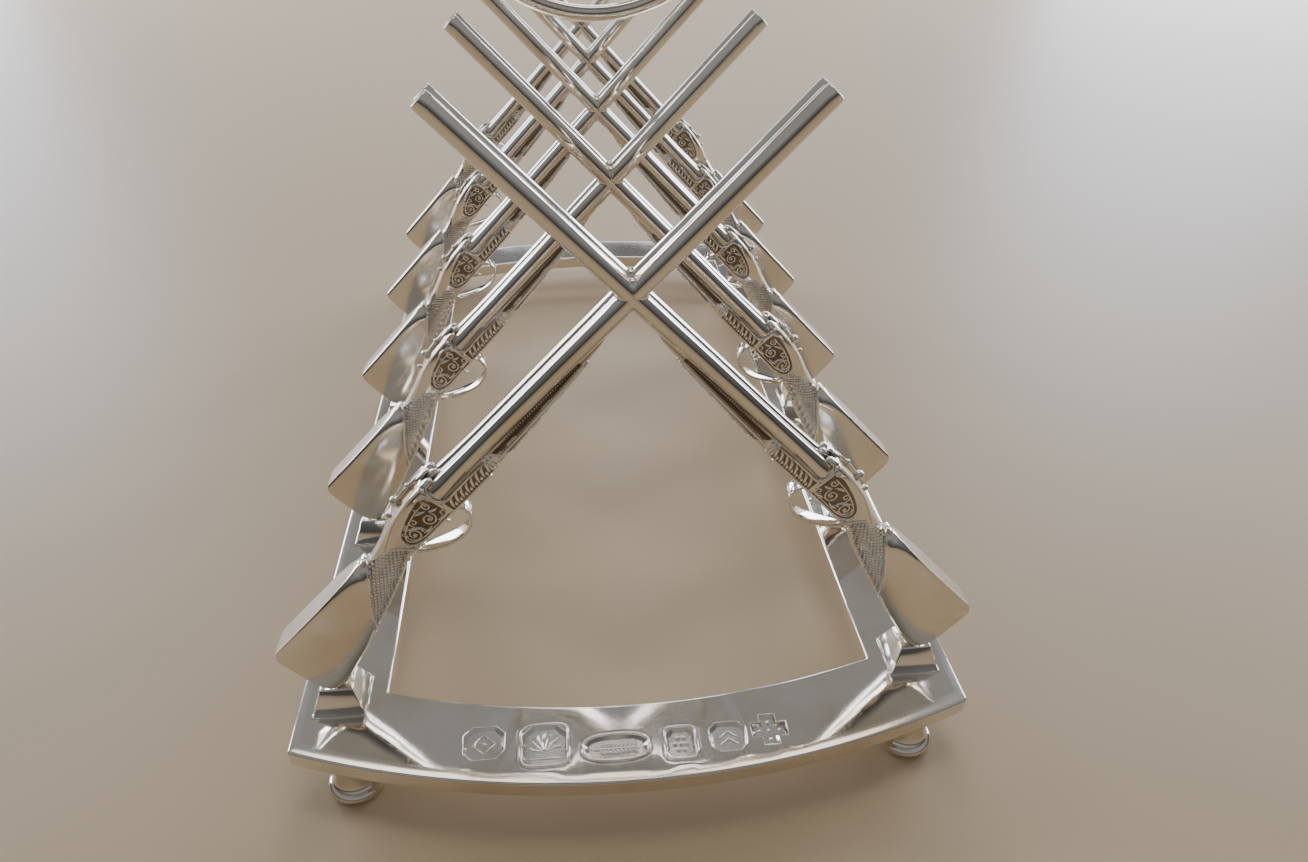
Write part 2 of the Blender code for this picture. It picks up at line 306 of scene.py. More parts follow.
def silverFinish(name, look):
    material = bpy.data.materials.new(name)
    material.use_nodes = True
    tree = material.node_tree
    shader = tree.nodes["Principled BSDF"]
    place = addNode(tree, "ShaderNodeTexCoord").outputs["UV" if look.get("grainOnUv") else "Object"]
    spot = addNode(tree, "ShaderNodeTexCoord").outputs["Object"]

    def pattern(size, detail, rough=0.5, source=spot):
        return addNode(tree, "ShaderNodeTexNoise", {
            "Vector": source, "Scale": 1000 / size, "Detail": detail, "Roughness": rough}).outputs["Fac"]

    def between(value, low, high, toLow=0.0, toHigh=1.0):
        return addNode(tree, "ShaderNodeMapRange", {
            "Value": value, "From Min": low, "From Max": high, "To Min": toLow,
            "To Max": toHigh}).outputs["Result"]

    def blend(factor, first, second):
        node = addNode(tree, "ShaderNodeMix", {"Factor": factor}, data_type="RGBA")
        for socket, colour in ((node.inputs[6], first), (node.inputs[7], second)):
            if isinstance(colour, bpy.types.NodeSocket):
                tree.links.new(colour, socket)
            else:
                socket.default_value = linearColour(colour)
        return node.outputs[2]

    def sumOf(first, second, operation="ADD"):
        return addNode(tree, "ShaderNodeMath", {0: first, 1: second}, operation=operation).outputs[0]

    # Colour: bright metal, faint warm cloudiness, tarnish and painted shade darkening the recesses, bright
    # worn edges.
    cloud = between(pattern(look["cloudSize"], 4), 0.42, 0.68)
    colour = blend(cloud, look["bright"], look["cloudy"])
    # painted shade: ambient occlusion darkens the recesses towards the recess colour, together with their
    # tarnish
    corner = addNode(tree, "ShaderNodeAmbientOcclusion", {"Distance": look["recessReach"] * mm}, samples=6)
    corner.only_local = True
    recess = between(corner.outputs["AO"], 0.35, 0.85, 1.0, 0.0)
    tarnishAndShade = sumOf(recess, between(pattern(1.3, 3), 0.35, 0.6, 0.55, 1.0), "MULTIPLY")
    tarnishAndShade = sumOf(tarnishAndShade, look["recessStrength"], "MULTIPLY")
    colour = blend(tarnishAndShade, colour, look["recess"])
    speck = between(pattern(0.55, 2), 0.74, 0.8, 0.0, look["specks"])
    near = between(pattern(9, 2), 0.5, 0.62)
    speck = sumOf(speck, near, "MULTIPLY")
    colour = blend(speck, colour, look["speck"])
    worn = addNode(tree, "ShaderNodeNewGeometry").outputs["Pointiness"]
    worn = between(worn, 0.52, 0.62, 0.0, look["edgeWear"])
    colour = blend(worn, colour, look["worn"])
    tree.links.new(colour, shader.inputs["Base Color"])

    # Roughness: a polish that wanders, hairline scratches, dull recesses.
    turned = addNode(tree, "ShaderNodeMapping", {
        "Vector": place, "Rotation": (0.2, 0.1, look["hairTurn"]), "Scale": look["hairStretch"]}).outputs[0]
    hair = addNode(tree, "ShaderNodeTexNoise", {
        "Vector": turned, "Scale": look["hairScale"], "Detail": 3.0, "Roughness": 0.6}).outputs["Fac"]
    hairline = between(hair, 0.6, 0.72, 0.0, look["hairStrength"])
    rough = between(pattern(look["polishSize"], 3), 0.3, 0.7, look["roughLow"], look["roughHigh"])
    rough = sumOf(rough, hairline)
    rough = sumOf(rough, sumOf(tarnishAndShade, 0.3, "MULTIPLY"))
    tree.links.new(rough, shader.inputs["Roughness"])

    # Relief: hand-polished waves, the casting's or file's grain, and the hairlines.
    wave = sumOf(pattern(look["waveSize"], 2), look["waveHeight"], "MULTIPLY")
    grain = sumOf(pattern(look["grainSize"], 3, 0.6), look["grainHeight"], "MULTIPLY")
    height = sumOf(sumOf(wave, grain), sumOf(hairline, -look["hairDepth"], "MULTIPLY"))
    bump = addNode(tree, "ShaderNodeBump", {"Strength": 1.0, "Distance": mm, "Height": height})
    tree.links.new(bump.outputs[0], shader.inputs["Normal"])
    shader.inputs["Metallic"].default_value = 1.0
    return material


# Heights in the looks are millimetres; sizes are millimetres between one blotch and the next.
baseLook = {
    "bright": "#F3EDE3", "cloudy": "#E2D7C6", "recess": "#4E4032", "cloudSize": 14, "recessReach": 0.7,
    "recessStrength": 0.6, "specks": 0.25, "edgeWear": 0.5, "hairTurn": 0.3, "hairStretch": (1.0, 22.0, 22.0),
    "hairScale": 420, "hairStrength": 0.035, "hairDepth": 0.0012, "polishSize": 10, "roughLow": 0.045,
    "roughHigh": 0.1, "waveSize": 9, "waveHeight": 0.012, "grainSize": 0.5, "grainHeight": 0.0006,
    "speck": "#4A3F36", "worn": "#FBFAF8",
}
# marks that follow the length of a wire or tube, or run round a turned piece
drawnOut = {"grainOnUv": True, "hairTurn": 0.0, "hairStretch": (0.02, 1.0, 1.0)}
polishedSheet = silverFinish("silver_sheet_hand_polished", {
    **baseLook, "specks": 0.55, "recessStrength": 0.35})    # flat mirror with slow waves and fine wipe marks
drawnTube = silverFinish("silver_tube_drawn", {
    **baseLook, **drawnOut, "hairScale": 60, "waveHeight": 0.004, "roughLow": 0.04,
    "roughHigh": 0.08})    # crisp highlights drawn out along the barrel
castStock = silverFinish("silver_casting_polished", {
    **baseLook, "recessStrength": 0.85, "recessReach": 0.9, "roughLow": 0.09, "roughHigh": 0.17,
    "waveSize": 4, "waveHeight": 0.02, "grainHeight": 0.0014})    # softer, slightly lumpy shine
chasedWork = silverFinish("silver_chased_relief", {
    **baseLook, "bright": "#F6F3EE", "recessStrength": 1.0, "recessReach": 0.5, "edgeWear": 0.8,
    "roughLow": 0.1, "roughHigh": 0.2, "grainSize": 0.3, "grainHeight": 0.002})    # bright tops, dark grooves
turnedFoot = silverFinish("silver_turned_foot", {
    **baseLook, **drawnOut, "hairScale": 90, "recessReach": 1.2})    # rings left by the turning tool
# painted shade: the dark base colours of this punched ground stand in for the shade between the raised
# scrolls
mattedGroundPaintedShade = silverFinish("silver_matted_ground_painted_shade", {
    **baseLook, "bright": "#8F7E69", "cloudy": "#6E5D49", "recess": "#33291F", "recessStrength": 1.0,
    "recessReach": 0.5, "roughLow": 0.26, "roughHigh": 0.4, "grainSize": 0.26,
    "grainHeight": 0.05})    # punched ground behind the scrolls, grey and dull; its dark brown colour is painted shade against the bright relief
filedBlock = silverFinish("silver_block_filed", {
    **baseLook, "roughLow": 0.07, "roughHigh": 0.14, "waveSize": 3, "specks": 0.8,
    "recessStrength": 0.8})    # flat filed facets with pinholes by the solder
ringWire = silverFinish("silver_wire_polished", {
    **baseLook, **drawnOut, "hairScale": 60, "waveHeight": 0.006})    # smooth rod, faint marks along it
print("materials ready")


# Base frame: a flat bowed frame with soft edges and a row of punched marks.

plateShape = {
    "cornerBeyondRow": 7.1, "bow": 7.2, "openingHalfWidth": 28.7, "openingBeyondRow": -0.3, "openingBow": 4.4,
    "topEdge": 0.32, "chamferWidth": 1.15, "chamferTurn": 11, "bottomEdge": 0.35, "innerEdge": 0.35,
    "outerCorner": 0.45, "innerCorner": 0.3, "smallestCorner": 0.06,
    "edgeSteps": 5, "barSteps": 56, "railSteps": 30, "cornerSteps": 5,
}


def softCorner(start, corner, finish):
    # Quadratic curve from start to finish, drawn towards the corner.
    steps = plateShape["cornerSteps"]
    return [start * (1 - t) ** 2 + corner * 2 * t * (1 - t) + finish * t * t
            for t in (step / steps for step in range(steps + 1))]


def bowedLoop(halfWidth, cornerY, bow, cornerSize):
    # Anticlockwise loop of points: a bowed bar at each end, straight rails between.
    steps, railSteps = plateShape["barSteps"], plateShape["railSteps"]
    bars = []
    for end in (-1, 1):
        bar = []
        for step in range(steps + 1):
            across = (2 * step / steps - 1) * (1 - cornerSize / halfWidth)
            bar.append(Vector((-end * across * halfWidth, end * (cornerY + bow * (1 - across * across)))))
        corners = [Vector((way * halfWidth, end * cornerY)) for way in (end, -end)]
        rails = [corner - Vector((0, end * cornerSize)) for corner in corners]
        bars.append(softCorner(rails[0], corners[0], bar[0]) + bar[1:-1]
                    + softCorner(bar[-1], corners[1], rails[1]))
    points = []
    for bar, following in (bars, bars[::-1]):
        points.extend(bar)
        points.extend(bar[-1].lerp(following[0], step / railSteps) for step in range(1, railSteps))
    return points


def roundedEdge(radius, turn=90):
    # (in from the side, down from the flat) of a round that starts on the side and stops after some degrees.
    steps = plateShape["edgeSteps"]
    angles = [math.radians(turn) * step / steps for step in range(steps + 1)]
    return [(radius * (1 - math.cos(a)), radius * (1 - math.sin(a))) for a in angles]


def framePlate():
    size = plateShape
    turn = math.radians(size["chamferTurn"])
    softEdge = roundedEdge(size["topEdge"], 90 - size["chamferTurn"])
    drop = math.tan(turn) * (size["chamferWidth"] - softEdge[-1][0]) - softEdge[-1][1]
    softEdge = [(inset, down + drop) for inset, down in softEdge] + [(size["chamferWidth"], 0.0)]
    top, bottom = plateHigh.z / mm, plateLow.z / mm
    bottomEdge, innerEdge = roundedEdge(size["bottomEdge"]), roundedEdge(size["innerEdge"])
    # (1 on the outside and -1 on the inside, in from that side, height)
    profile = [(1, inset, bottom + down) for inset, down in bottomEdge[::-1]]
    profile += [(1, inset, top - down) for inset, down in softEdge]
    profile += [(-1, inset, top - down) for inset, down in innerEdge[::-1]]
    profile += [(-1, inset, bottom + down) for inset, down in bottomEdge]
    bm = bmesh.new()
    rings = []
    for side, inset, height in profile:
        into = -side * inset
        if side > 0:
            halfWidth, beyond, bow, corner = (plateHigh.x / mm, size["cornerBeyondRow"], size["bow"],
                                              size["outerCorner"])
        else:
            halfWidth, beyond, bow, corner = (size["openingHalfWidth"], size["openingBeyondRow"],
                                              size["openingBow"], size["innerCorner"])
        cornerSize = max(corner + into, size["smallestCorner"])
        loop = bowedLoop(halfWidth + into, endRow + beyond + into, bow, cornerSize)
        rings.append([bm.verts.new((p.x * mm, p.y * mm, height * mm)) for p in loop])
    skinRings(bm, rings + [rings[0]], capped=False)
    return solidMesh("frame_plate", bm, 30)


markShapes = [
    # middle x, y from the front row, half width, half height, outline, well outline
    (-17.3, -8.0, 2.3, 2.15, None, "octagon"),
    (-10.6, -8.8, 3.15, 3.2, "square", "octagon"),
    (-2.7, -9.8, 4.15, 2.2, "oval", "oval"),
    (4.5, -9.9, 2.25, 2.6, "square", "octagon"),
    (9.9, -9.65, 2.1, 1.95, None, "octagon"),
    (14.65, -9.15, 2.05, 2.05, None, "cross"),
]
markSize = {
    "border": 0.14, "well": 0.42,    # how deep each is struck
    "groove": 0.3, "ridge": 0.34, "slope": 0.42,    # widths
    "rim": 0.07, "bead": 0.15, "stroke": 0.19, "pellet": 0.24,    # half widths of the raised work
    "cornerCut": 0.46, "ovalPower": 2.7, "squarePower": 4.5, "outlineSteps": 40,
}


def markOutline(kind, halfWidth, halfHeight):
    w, h = halfWidth, halfHeight
    if kind == "octagon":
        cut = markSize["cornerCut"] * min(w, h)
        return [(w, h - cut), (w - cut, h), (cut - w, h), (-w, h - cut), (-w, cut - h), (cut - w, -h),
                (w - cut, -h), (w, cut - h)]
    if kind == "cross":
        a, b = w * markSize["cornerCut"], h * markSize["cornerCut"]
        return [(w, b), (a, b), (a, h), (-a, h), (-a, b), (-w, b), (-w, -b), (-a, -b), (-a, -h), (a, -h),
                (a, -b), (w, -b)]
    power = 2 / markSize["ovalPower" if kind == "oval" else "squarePower"]
    points = []
    for step in range(markSize["outlineSteps"]):
        a = 2 * math.pi * step / markSize["outlineSteps"]
        c, s = math.cos(a), math.sin(a)
        points.append((w * math.copysign(abs(c) ** power, c), h * math.copysign(abs(s) ** power, s)))
    return points


def markCutter(x, y, outline, depth, core=None):
    # A tapered punch standing in the plate's top; with a core it cuts only a groove round it.
    bm = bmesh.new()
    slope = markSize["slope"] * depth / markSize["well"]
    ends = []
    for shape, way in ((outline, -1), (core, 1)):
        if not shape:
            continue
        rings = []
        for height, spread in ((-depth, slope * way), (0.0, 0.0), (0.5, -slope * way)):
            ring = []
            for px, py in shape:
                size = 1 + spread / math.hypot(px, py)
                ring.append(bm.verts.new(((x + px * size) * mm, (y - endRow + py * size) * mm,
                                          plateHigh.z + height * mm)))
            rings.append(ring)
        skinRings(bm, rings, capped=core is None)
        ends.append((rings[0], rings[-1]))
    if core:
        for outerRing, innerRing in zip(*ends):
            skinRings(bm, [outerRing, innerRing], capped=False)
    return newObject("punch", solidMesh("punch", bm))


plate = newObject("frame_plate", framePlate(), polishedSheet)
punches = []
for x, y, w, h, border, well in markShapes:
    if border:
        # a narrow groove, then a ridge left standing, then the well
        groove, ridge = markSize["groove"], markSize["ridge"]
        punches.append(markCutter(x, y, markOutline(border, w, h), markSize["border"],
                                  markOutline(border, w - groove, h - groove)))
        w, h = w - groove - ridge, h - groove - ridge
    punches.append(markCutter(x, y, markOutline(well, w, h), markSize["well"]))
for punch in punches:
    cut = plate.modifiers.new("punch", "BOOLEAN")
    cut.operation = "DIFFERENCE"
    cut.solver = "EXACT"
    cut.object = punch
plateMesh = plainMesh(plate, "frame_plate")
for punch in punches:
    bpy.data.objects.remove(punch, do_unlink=True)
plateMesh.set_sharp_from_angle(angle=math.radians(25))
plate = newObject("frame_plate", plateMesh, polishedSheet)
even = plate.modifiers.new("even_shading", "WEIGHTED_NORMAL")
even.keep_sharp = True
even.weight = 100
plate = newObject("frame_plate", plainMesh(plate, "frame_plate"), polishedSheet)
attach(plate, "root")
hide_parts("base_frame")


def pelletPath(spot):
    return [spot, (spot[0] + 0.1, spot[1], spot[2])]


def markMotif(index, at):
    # Raised strokes and pellets of a mark, no letters or figures; at() turns shares of the well into a place.
    strokes, pellets = [], []
    if index == 0:
        # a lozenge with a pellet in it
        strokes.append([at(0.7, 0), at(0, 0.8), at(-0.7, 0), at(0, -0.8), at(0.7, 0)])
        pellets.append(pelletPath(at(0, 0)))
    elif index == 1:
        # a spray of leaves over a bar
        for a in (math.pi * (0.08 + 0.14 * k) for k in range(7)):
            strokes.append([at(out * math.cos(a + bend), rise * math.sin(a + bend) - 0.35)
                            for out, rise, bend in ((0.15, 0.15, 0.0), (0.6, 0.75, 0.12), (0.9, 1.15, 0.0))])
        strokes.append([at(-0.8, -0.78), at(0.8, -0.78)])
    elif index == 2:
        # an ear of corn lying down: a stem with slanting grains on both sides
        strokes.append([at(-0.85, 0), at(0.8, 0)])
        for along in stations(-0.6, 0.6, 0.15):
            strokes.extend([at(along, way * 0.12), at(along + 0.14, way * 0.62)] for way in (-1, 1))
    elif index == 3:
        # a small flower of pellets, the seventh in the middle
        for k in range(7):
            a, out = math.pi * k / 3, 0.62 if k < 6 else 0.0
            pellets.append(pelletPath(at(out * math.cos(a), out * math.sin(a), 0.03)))
    elif index == 4:
        # two chevrons
        strokes.extend([at(-0.65, up), at(0, up + 0.55), at(0.65, up)] for up in (-0.6, 0.05))
    else:
        # a pellet at the middle of the cross and one in every arm
        pellets.extend([at(dx * 0.78, dy * 0.78), at(dx * 0.78, dy * 0.7)]
                       for dx, dy in ((0, 0), (1, 0), (0, 1), (-1, 0), (0, -1)))
    return strokes, pellets


def markRelief():
    # Bright rims, border beads, and what stands up in the wells.
    strokes, pellets, rims, borders = [], [], [], []
    top = plateHigh.z / mm
    for index, (x, y, w, h, border, well) in enumerate(markShapes):
        y = y - endRow
        if border:
            spread = markSize["groove"] + markSize["ridge"] / 2
            outline = markOutline(border, w - spread, h - spread)
            borders.append([(x + px, y + py, top - 0.03) for px, py in outline])
            spread += markSize["ridge"] / 2
            w, h = w - spread, h - spread
        rims.append([(x + px, y + py, top - 0.02) for px, py in markOutline(well, w, h)])
        inset = markSize["slope"] + 0.1
        w, h = w - inset, h - inset
        floor = top - markSize["well"] + 0.05

        def at(across, up, lift=0.0):
            return x + w * across, y + h * up, floor + lift

        moreStrokes, morePellets = markMotif(index, at)
        strokes.extend(moreStrokes)
        pellets.extend(morePellets)
    return joinMeshes("mark_relief", [
        wires("mark_strokes", strokes, markSize["stroke"], polishedSheet, taper=0.3),
        beadRows("mark_pellets", pellets, markSize["pellet"], 0.5, 0.05, 2, polishedSheet),
        wires("mark_rims", rims, markSize["rim"], polishedSheet, loop=True),
        wires("mark_borders", borders, markSize["bead"], polishedSheet, sides=12, loop=True)])


# painted shade: the struck floors take the chased finish, whose stronger occlusion darkening paints shade in
# the wells
plate.data.materials.append(chasedWork)
for face in plate.data.polygons:
    if -0.5 * mm < face.center.z - plateHigh.z < -0.05 * mm and face.normal.z > 0.9:
        face.material_index = 1    # struck floors of the marks
relief = newObject("mark_relief", markRelief(), polishedSheet)
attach(relief, "root")
print("base frame ready")


# Feet: four small turned bun feet.

footShape = {
    "steps": 64,
    "profile": [    # radius, height above the table
        (2.6, 5.0), (2.45, 4.75), (2.32, 4.2), (2.28, 3.3), (2.34, 2.4), (2.5, 1.8), (2.75, 1.5),
        (2.82, 1.38), (2.78, 1.28), (3.0, 1.15), (3.2, 0.95), (3.3, 0.65), (3.26, 0.35), (3.05, 0.1),
        (2.7, 0.0)],
}


def latheMesh(name, profile, steps, centre):
    # Turned solid with a UV map that runs round it, for the tool marks.
    curve = smoothPath(profile, 3)
    bm = bmesh.new()
    rings = []
    for radius, height in curve:
        ring = []
        for a in (2 * math.pi * i / steps for i in range(steps)):
            ring.append(bm.verts.new((centre.x + radius * mm * math.cos(a),
                                      centre.y + radius * mm * math.sin(a), height * mm)))
        rings.append(ring)
    wrapRings(bm, "around", rings, lambda k, i: (i / steps, curve[k][1] * 0.2))
    return solidMesh(name, bm, 50)


for end in ("front", "back"):
    for side in ("left", "right"):
        node = "foot_{}_{}".format(end, side)
        low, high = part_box(node)
        bun = latheMesh(node, footShape["profile"], footShape["steps"], (low + high) / 2)
        foot = newObject("bun_" + node, bun, turnedFoot)
        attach(foot, "root")
        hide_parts(node)
print("feet ready")


# Guns: every part is made once along the gun's length, then set in place ten times.
# Along is measured from the crossing of the barrels, + to the muzzle; up is towards the top rib.

gunPlace = {"tilt": 46.4, "crossingAbovePlate": 50.5}
crossingHeight = plateHigh.z + gunPlace["crossingAbovePlate"] * mm

stockShape = {
    "ringPoints": 64, "step": 0.3, "combCrispness": 5.0, "combEnd": -41.5, "combRun": 4.0, "barFrom": -28.45,
    "heelRound": 0.2, "heelRun": 5.9, "plateRings": 6, "plateAcross": 0.86, "plateTall": 0.92,
    "plateHollow": 0.02,
    "barTip": [(-4.5, 0.04), (-4.45, 0.1), (-4.43, 0.17)],    # along, how much smaller
    "sections": [    # along, top, bottom, half thickness, squareness
        (-57.9, 0.18, -8.62, 2.14, 4.0), (-55.9, 0.20, -8.62, 2.18, 3.8), (-53.0, 0.20, -8.05, 2.2, 3.5),
        (-50.0, 0.20, -7.38, 2.2, 3.2), (-47.5, 0.22, -6.65, 2.16, 2.9), (-45.0, 0.24, -5.95, 2.06, 2.6),
        (-42.5, 0.25, -5.22, 1.92, 2.3), (-41.3, 0.18, -4.85, 1.84, 2.2), (-40.6, -0.22, -4.62, 1.80, 2.1),
        (-39.9, -0.25, -4.40, 1.78, 2.1), (-38.5, 0.05, -3.80, 1.75, 2.1), (-37.0, 0.45, -3.32, 1.78, 2.3),
        (-36.0, 0.78, -3.12, 1.88, 2.6), (-35.0, 1.08, -3.05, 2.02, 3.0), (-34.0, 1.35, -2.98, 2.18, 3.6),
        (-32.5, 1.62, -2.85, 2.32, 4.2), (-31.0, 1.82, -2.72, 2.38, 4.6), (-29.0, 1.90, -2.62, 2.38, 4.8),
        (-28.3, 1.90, -2.58, 2.38, 4.8)],
    "bar": [    # the bar of the action and the fore-end, under the barrels
        (-28.6, -0.45, -2.56, 2.36, 5.0), (-25.0, -0.50, -2.54, 2.30, 5.0), (-21.9, -0.55, -2.50, 2.22, 4.8),
        (-20.9, -0.60, -2.46, 2.10, 3.6), (-19.2, -0.62, -2.40, 2.04, 3.0), (-15.0, -0.66, -2.14, 1.88, 2.6),
        (-10.0, -0.70, -1.80, 1.62, 2.4), (-7.5, -0.72, -1.56, 1.40, 2.3), (-5.6, -0.76, -1.42, 1.15, 2.2),
        (-4.6, -0.86, -1.25, 0.75, 2.1)],
    "heel": [    # where the butt ends at each height
        (0.2, -56.45), (-0.2, -56.85), (-0.8, -57.1), (-2.0, -57.3), (-4.0, -57.55), (-5.6, -57.75),
        (-7.0, -57.65), (-8.0, -57.3), (-8.6, -56.7)],
}


def reading(table, along, column=None):
    # Smooth in-between value from a table whose first column rises or falls.
    rows = table if table[0][0] < table[-1][0] else table[::-1]
    if along <= rows[0][0]:
        return rows[0][1:] if column is None else rows[0][column]
    for i, (here, following) in enumerate(zip(rows, rows[1:])):
        if along <= following[0]:
            width = following[0] - here[0]
            t = (along - here[0]) / width
            before, after = rows[max(i - 1, 0)], rows[min(i + 2, len(rows) - 1)]
            values = []
            for k in range(1, len(here)):
                a, b = here[k], following[k]
                slopeA = (b - before[k]) / (following[0] - before[0]) * width
                slopeB = (after[k] - a) / (after[0] - here[0]) * width
                values.append(a * (2 * t ** 3 - 3 * t * t + 1) + slopeA * (t ** 3 - 2 * t * t + t)
                              + b * (3 * t * t - 2 * t ** 3) + slopeB * (t ** 3 - t * t))
            return tuple(values) if column is None else values[column - 1]
    return rows[-1][1:] if column is None else rows[-1][column]


def share(value):
    # The value held between none and all.
    return max(0.0, min(1.0, value))


def combCrispness(along):
    # How much squarer the butt is above its middle than below.
    return stockShape["combCrispness"] * share((stockShape["combEnd"] - along) / stockShape["combRun"])


def sideFace(along, up):
    # Half thickness of the stock, action or fore-end at a height.
    table = stockShape["bar" if along > stockShape["barFrom"] else "sections"]
    top, bottom, half, squareness = reading(table, along)
    across = (up - (top + bottom) / 2) / ((top - bottom) / 2)
    if across > 0:
        squareness += combCrispness(along)
    across = min(abs(across), 0.985)    # keeps off the very edge, where the face turns under
    return half * (1 - across ** squareness) ** (1 / squareness)


def sectionRing(bm, along, section, shrink=0.0, atHeel=False):
    top, bottom, half, squareness = section
    middle, tall = (top + bottom) / 2, (top - bottom) / 2
    ring = []
    for i in range(stockShape["ringPoints"]):
        a = 2 * math.pi * (i + 0.5) / stockShape["ringPoints"]
        c, s = math.cos(a), math.sin(a)
        power = 2 / (squareness + (combCrispness(along) if s > 0 else 0))
        x = along
        y = (half - shrink) * math.copysign(abs(c) ** power, c)
        z = middle + (tall - shrink) * math.copysign(abs(s) ** power, s)
        if atHeel:
            # rings near the heel slide, so that the last one follows its curve
            butt = stockShape["sections"][0][0]
            near = share((butt + stockShape["heelRun"] - along) / stockShape["heelRun"])
            x = along + (reading(stockShape["heel"], z, 1) - butt) * near * near
        ring.append(bm.verts.new((x * mm, y * mm, z * mm)))
    return ring


def heelPlateRings(bm, section):
    # The slightly hollow end of the butt, drawn in towards its middle ring by ring.
    size = stockShape
    middle = (section[0] + section[1]) / 2
    rings = []
    for k in range(size["plateRings"], 0, -1):
        ring = sectionRing(bm, size["sections"][0][0], section, atHeel=True)
        inward = 1 - k / (size["plateRings"] + 0.5)
        for vert in ring:
            vert.co.y *= inward * size["plateAcross"]
            up = middle + (vert.co.z / mm - middle) * inward * size["plateTall"]
            vert.co.z = up * mm
            vert.co.x = (reading(size["heel"], up, 1) + size["plateHollow"] * k) * mm
        rings.append(ring)
    return rings


def stockMesh():
    size = stockShape
    bm = bmesh.new()
    sections, bar, r = size["sections"], size["bar"], size["heelRound"]
    first, last = sections[0][0], sections[-1][0]
    rings = heelPlateRings(bm, reading(sections, first))
    for a in (math.pi / 2 * k / 5 for k in range(5)):
        along = first + r * (1 - math.cos(a))
        rings.append(sectionRing(bm, along, reading(sections, along), r * (1 - math.sin(a)), atHeel=True))
    for along in stations(first + r + 0.05, last, size["step"]):
        rings.append(sectionRing(bm, along, reading(sections, along), atHeel=True))
    for beyond in (0.05, 0.15):
        rings.append(sectionRing(bm, last + beyond, reading(sections, last), beyond))
    skinRings(bm, rings)
    rings = [sectionRing(bm, bar[0][0], bar[0][1:], 0.05)]
    for along in stations(bar[0][0], bar[-1][0], size["step"]):
        rings.append(sectionRing(bm, along, reading(bar, along)))
    rings += [sectionRing(bm, along, bar[-1][1:], smaller) for along, smaller in size["barTip"]]
    skinRings(bm, rings)
    return solidMesh("stock", bm, 60)


barrelShape = {
    "breechEnd": -28.25, "muzzleEnd": 23.6, "breechRadius": 1.18, "radius": 0.98, "muzzleRadius": 0.95,
    "swellLength": 9.0, "spread": 0.03, "sides": 40, "step": 0.9, "muzzleEdge": 0.14, "breechDome": 0.42,
    "neck": 0.035, "neckReach": 1.6,    # one tube passes under the other gun's barrel
    "ribRuns": [(-27.5, -1.4), (1.4, 23.2)], "ribStep": 1.6, "ribBase": 0.45, "ribCrest": 0.78,
    "lowerRib": 0.9,
}


def barrelRadius(along):
    size = barrelShape
    swell = max(0.0, 1 - (along - size["breechEnd"]) / size["swellLength"])
    far = max(0.0, along / size["muzzleEnd"])
    return size["radius"] + (size["breechRadius"] - size["radius"]) * swell * swell \
        + (size["muzzleRadius"] - size["radius"]) * far


def tubePart(bm, side):
    size = barrelShape
    first, last, dome, edge = size["breechEnd"], size["muzzleEnd"], size["breechDome"], size["muzzleEdge"]
    # (along, how much smaller): a rounded breech end, the tube, a soft muzzle edge
    spots = [(first + dome * (1 - math.sin(a)) * 0.8, dome * (1 - math.cos(a)))
             for a in (1.5, 1.2, 0.9, 0.6, 0.3)]
    spots += [(along, 0.0) for along in stations(first + dome, last, size["step"])[:-1]]
    spots += [(last - edge * (1 - math.sin(a)), edge * (1 - math.cos(a)))
              for a in (0.0, 0.4, 0.8, 1.2, math.pi / 2)]
    rings = []
    for along, inset in spots:
        r = barrelRadius(along)
        if side < 0 and abs(along) < size["neckReach"]:
            inset = size["neck"]
        ring = []
        for a in (2 * math.pi * i / size["sides"] for i in range(size["sides"])):
            across = side * (r + size["spread"]) + (r - inset) * math.cos(a)
            ring.append(bm.verts.new((along * mm, across * mm, (r - inset) * math.sin(a) * mm)))
        rings.append(ring)
    wrapRings(bm, "along", rings, lambda k, i: (spots[k][0] * 0.1, i / size["sides"] + side))


def barrelsMesh():
    bm = bmesh.new()
    for side in (1, -1):
        tubePart(bm, side)
    return solidMesh("barrels", bm, 40)


def ribMesh():
    # Low sighting rib between the tubes, above and below, open where the barrels cross.
    size = barrelShape
    bm = bmesh.new()
    for up in (1, -1):
        for first, last in size["ribRuns"]:
            rings = []
            for along in stations(first, last, size["ribStep"]):
                r = barrelRadius(along)
                base = r * size["ribBase"]
                crest = r * size["ribCrest"] * (1.0 if up > 0 else size["lowerRib"])
                shape = ((-0.5, base), (-0.34, crest - 0.06), (-0.22, crest), (0.22, crest),
                         (0.34, crest - 0.06), (0.5, base), (0.3, 0.1), (-0.3, 0.1))
                rings.append([bm.verts.new((along * mm, y * mm, z * up * mm)) for y, z in shape])
            skinRings(bm, rings)
    return solidMesh("rib", bm, 30)


def onSide(points, side, lift=0.0):
    # Points given as (along, up) laid on one face of the gun.
    return [(along, side * (sideFace(along, up) + lift), up) for along, up in points]


def volute(along, up, radius, turns, start, hand):
    points = []
    count = int(22 * turns)
    for i in range(count + 1):
        t = i / count
        a = start + hand * 2 * math.pi * turns * t
        r = radius * (1 - t) ** 0.8 + 0.06
        points.append((along + r * math.cos(a), up + r * math.sin(a)))
    return points


